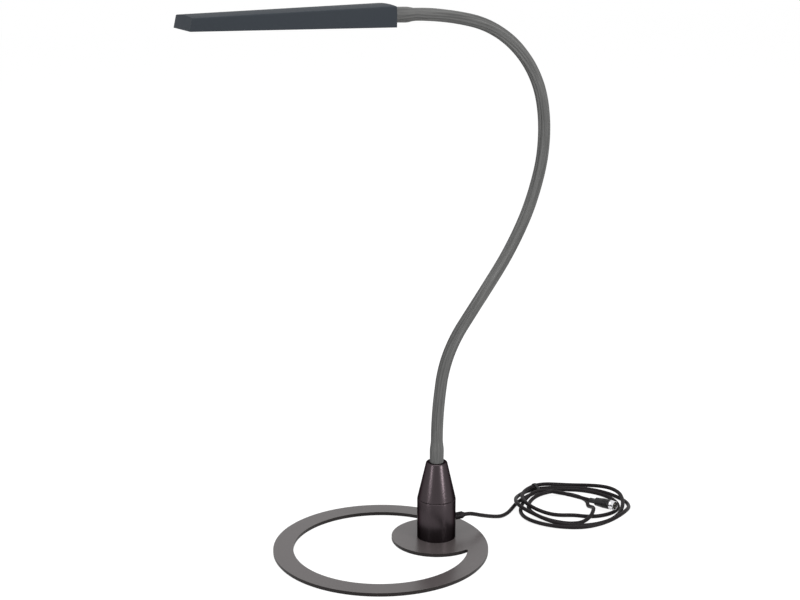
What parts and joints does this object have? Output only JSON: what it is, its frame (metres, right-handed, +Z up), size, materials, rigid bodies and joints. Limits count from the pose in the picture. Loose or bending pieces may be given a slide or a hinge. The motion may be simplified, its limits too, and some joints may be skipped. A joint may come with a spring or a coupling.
{
  "type": "gooseneck desk lamp",
  "caption": "Desk lamp with a wedge-shaped light bar on a curved gooseneck, a tapered swivel boss and a flat ring base.",
  "frame": {"origin": "on the boss axis at the underside of the base pad, where the lamp stands", "axes": "+Z up along the boss axis; the ring and the head lie towards -X; the cord leaves towards +X; the neck lies in the XZ plane"},
  "size_m": [0.4903, 0.22, 0.5507],
  "materials": {
    "plate_paint": "satin",
    "pad_rubber": "matte",
    "boss_paint": "satin",
    "neck_grey": "satin",
    "neck_grey_metal": "satin",
    "head_paint": "satin",
    "steel": "brushed",
    "black_plastic": "satin",
    "black_rubber": "matte",
    "cord_black": "matte",
    "bright_shell": "polished",
    "contact_brass": "polished",
    "diffuser_white": "matte",
    "channel_metal": "satin",
    "board_white": "satin",
    "led_yellow": "gloss",
    "board_green": "satin",
    "wire_red": "satin"
  },
  "bodies": {
    "base": {"base_plate": "plate_paint", "base_pad": "pad_rubber", "base_screws": "steel", "boss_body": "boss_paint", "stop_pin": "steel", "swivel_washer": "black_plastic", "strain_relief": "black_rubber", "inner_lead": "black_rubber", "cord_lead": "cord_black", "cord_coil": "cord_black", "cord_tie": "cord_black", "connector_grip": "black_plastic", "connector_shell": "bright_shell", "connector_insert": "black_plastic", "connector_pins": "contact_brass"},
    "swivel": {"boss_cone": "boss_paint", "swivel_tube": "steel", "swivel_nut": "steel", "spring_washer": "steel", "cone_grub_screw": "steel", "base_ferrule": "neck_grey_metal"},
    "neck_1": {"neck_sleeve_1": "neck_grey", "neck_hose_1": "steel"},
    "neck_2": {"neck_sleeve_2": "neck_grey", "neck_hose_2": "steel"},
    "neck_3": {"neck_sleeve_3": "neck_grey", "neck_hose_3": "steel"},
    "neck_4": {"neck_sleeve_4": "neck_grey", "neck_hose_4": "steel"},
    "neck_5": {"neck_sleeve_5": "neck_grey", "neck_hose_5": "steel"},
    "neck_6": {"neck_sleeve_6": "neck_grey", "neck_hose_6": "steel"},
    "neck_7": {"neck_sleeve_7": "neck_grey", "neck_hose_7": "steel"},
    "neck_8": {"neck_sleeve_8": "neck_grey", "neck_hose_8": "steel"},
    "neck_9": {"neck_sleeve_9": "neck_grey", "neck_hose_9": "steel"},
    "head": {"head_ferrule": "neck_grey_metal", "head_shell": "head_paint", "head_floor": "head_paint", "head_screws": "steel", "diffuser": "diffuser_white", "light_channel": "channel_metal", "led_board": "board_white", "led_chips": "led_yellow", "driver_board": "board_green", "board_spacers": "black_plastic", "tact_switch": "black_plastic", "neck_socket": "channel_metal", "socket_screws": "steel", "neck_wires": "black_rubber", "led_wires": "wire_red"},
    "button": {"switch_button": "black_plastic", "switch_spring": "steel"}
  },
  "joints": [
    {"name": "boss_swivel", "type": "hinge", "parent": "base", "child": "swivel", "pos_m": [0, 0, 0.0465], "axis": [0, 0, 1], "range_deg": [-150, 150]},
    {"name": "neck_bend_1", "type": "hinge", "parent": "swivel", "child": "neck_1", "pos_m": [0, 0, 0.11], "axis": [0.0005, -1, 0], "range_deg": [-18, 18]},
    {"name": "neck_sway_2", "type": "hinge", "parent": "neck_1", "child": "neck_2", "pos_m": [0.00481, 0, 0.17105], "axis": [-0.9877, 0, 0.1564], "range_deg": [-15, 15]},
    {"name": "neck_bend_3", "type": "hinge", "parent": "neck_2", "child": "neck_3", "pos_m": [0.02828, 0, 0.22704], "axis": [0.0005, -1, 0], "range_deg": [-18, 18]},
    {"name": "neck_bend_4", "type": "hinge", "parent": "neck_3", "child": "neck_4", "pos_m": [0.06453, 0, 0.27647], "axis": [0.0005, -1, 0], "range_deg": [-18, 18]},
    {"name": "neck_sway_5", "type": "hinge", "parent": "neck_4", "child": "neck_5", "pos_m": [0.09606, 0, 0.32895], "axis": [-0.8988, 0, 0.4384], "range_deg": [-15, 15]},
    {"name": "neck_bend_6", "type": "hinge", "parent": "neck_5", "child": "neck_6", "pos_m": [0.11546, 0, 0.38692], "axis": [0.0005, -1, 0], "range_deg": [-18, 18]},
    {"name": "neck_bend_7", "type": "hinge", "parent": "neck_6", "child": "neck_7", "pos_m": [0.11572, 0, 0.44786], "axis": [0.0005, -1, 0], "range_deg": [-18, 18]},
    {"name": "neck_sway_8", "type": "hinge", "parent": "neck_7", "child": "neck_8", "pos_m": [0.08828, 0, 0.50172], "axis": [-0.7254, 0, -0.6884], "range_deg": [-15, 15]},
    {"name": "neck_bend_9", "type": "hinge", "parent": "neck_8", "child": "neck_9", "pos_m": [0.03603, 0, 0.53219], "axis": [0.0005, -1, 0], "range_deg": [-18, 18]},
    {"name": "neck_bend_10", "type": "hinge", "parent": "neck_9", "child": "head", "pos_m": [-0.02462, 0, 0.54018], "axis": [0.0005, -1, 0], "range_deg": [-18, 18]},
    {"name": "switch_press", "type": "slide", "parent": "head", "child": "button", "axis": [0.0175, 0, 0.9998], "range_m": [0, 0.0005], "stiffness_N_per_m": 4000, "springref_m": -0.0003}
  ]
}
